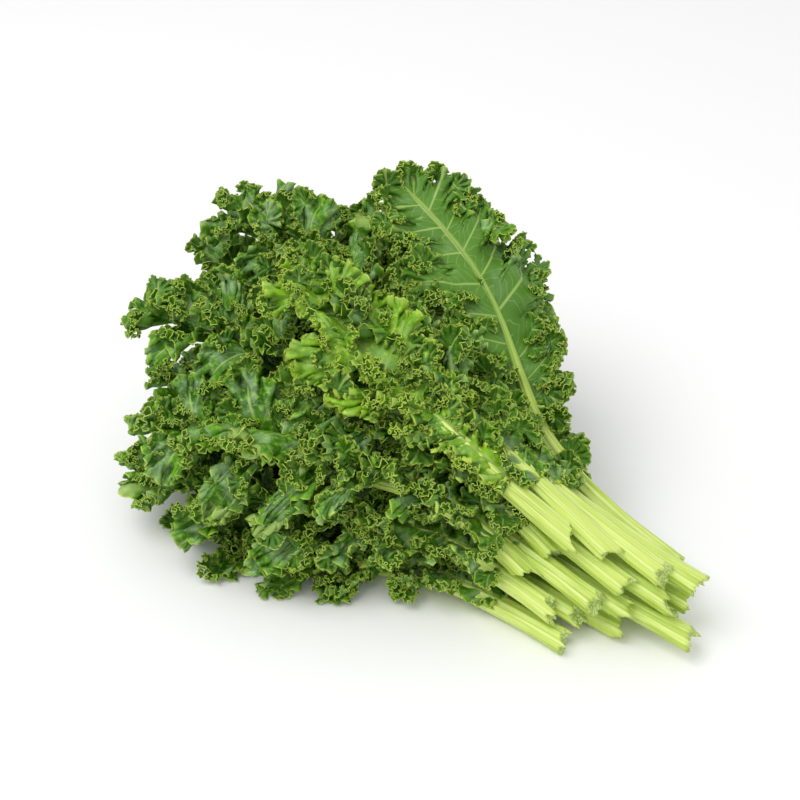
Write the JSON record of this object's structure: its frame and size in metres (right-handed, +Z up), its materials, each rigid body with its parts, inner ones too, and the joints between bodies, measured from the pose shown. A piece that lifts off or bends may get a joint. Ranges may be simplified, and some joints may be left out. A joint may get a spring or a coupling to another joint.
{
  "type": "kale bunch",
  "caption": "Bunch of fresh curly kale lying on its side, with frilled green leaves fanned out from a sheaf of pale cut stems.",
  "frame": {"origin": "middle of the bunch's bounding box on the surface that it lies on, z = 0", "axes": "+X along the stems towards their cut ends, the frilled foliage towards -X; +Y to the far side of the bunch; +Z up"},
  "size_m": [0.3584, 0.2599, 0.1613],
  "materials": {
    "curly_leaf": "waxy dark green curly kale leaf, satin, with pale green midrib and yellow-green frilled margin",
    "leaf_underside": "matt grey-green underside of a kale leaf with raised pale veins",
    "young_leaf": "bright yellow-green young kale leaf, satin"
  },
  "bodies": {
    "root": {"leaf_front_low": "curly_leaf", "leaf_front_middle": "curly_leaf", "leaf_front_top": "curly_leaf", "leaf_near_low": "curly_leaf", "leaf_near_middle": "curly_leaf", "leaf_near_top": "curly_leaf", "leaf_middle_low": "curly_leaf", "leaf_middle_lower": "curly_leaf", "leaf_middle_upper": "curly_leaf", "leaf_middle_top": "curly_leaf", "leaf_far_low": "curly_leaf", "leaf_far_middle": "curly_leaf", "leaf_far_top": "curly_leaf", "leaf_back_low": "curly_leaf", "leaf_back_middle": "curly_leaf", "leaf_back_top": "curly_leaf", "leaf_turned_over": "leaf_underside", "leaf_young": "young_leaf"}
  },
  "joints": []
}
